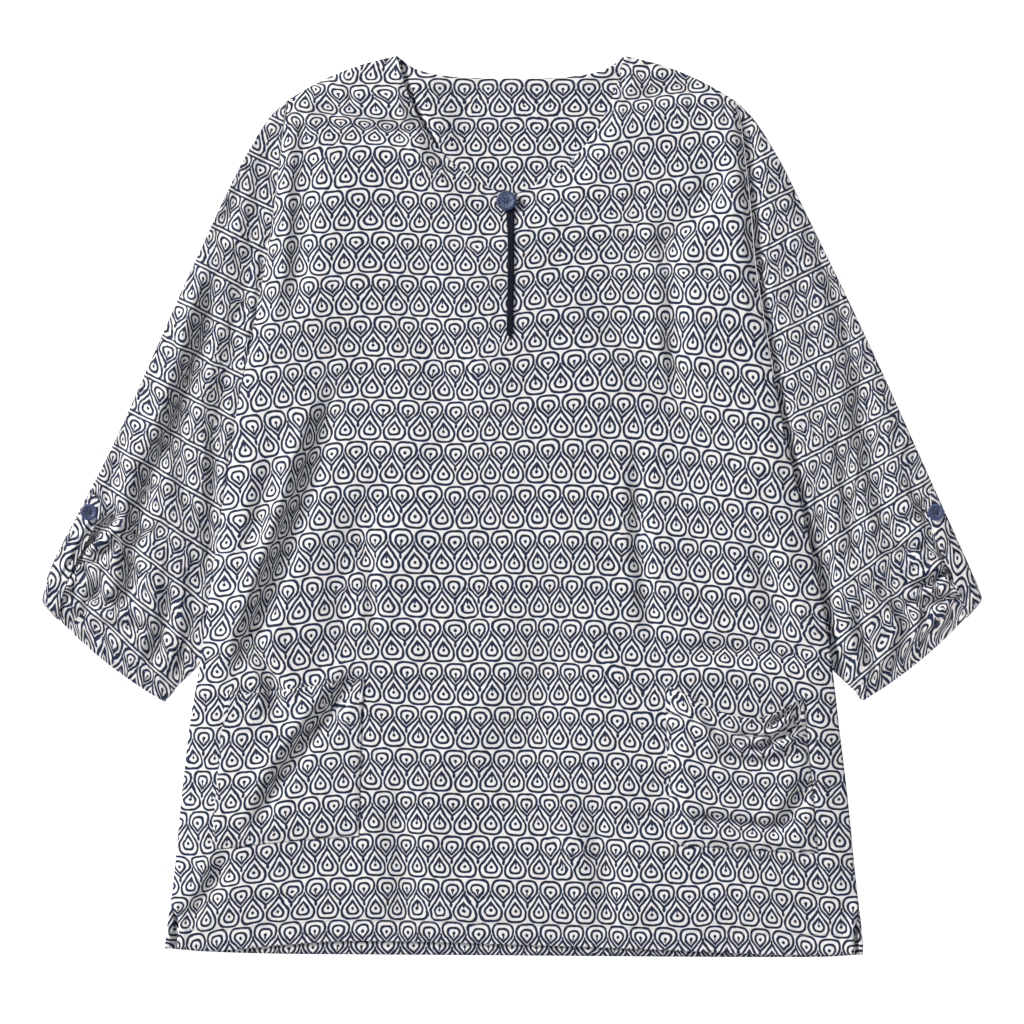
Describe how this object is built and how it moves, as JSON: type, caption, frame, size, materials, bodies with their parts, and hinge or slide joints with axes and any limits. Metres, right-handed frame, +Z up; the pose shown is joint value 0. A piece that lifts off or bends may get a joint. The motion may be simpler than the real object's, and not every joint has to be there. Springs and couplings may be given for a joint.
{
  "type": "tunic top",
  "caption": "Loose printed tunic top laid flat, with a rounded V neck, buttoned front slit, roll-tab sleeves, patch pockets and side vents.",
  "frame": {"origin": "on the table under the middle of the laid-out tunic", "axes": "+X across the body towards the right-hand sleeve as seen from above, +Y from the hem to the neck, +Z up from the table through the cloth"},
  "size_m": [0.8189, 0.7848, 0.0108],
  "materials": {
    "printed_cloth": "plain woven cotton, off-white with a navy teardrop print",
    "dark_binding": "narrow near-black cloth binding and cord",
    "button_resin": "speckled blue resin, satin"
  },
  "bodies": {
    "root": {"front_panel": "printed_cloth", "back_panel": "printed_cloth", "sleeve_left": "printed_cloth", "sleeve_right": "printed_cloth", "tab_left": "printed_cloth", "tab_right": "printed_cloth", "pocket_left": "printed_cloth", "pocket_right": "printed_cloth", "slit_binding": "dark_binding", "button_loop": "dark_binding", "neck_button": "button_resin", "sleeve_button_left": "button_resin", "sleeve_button_right": "button_resin"}
  },
  "joints": []
}
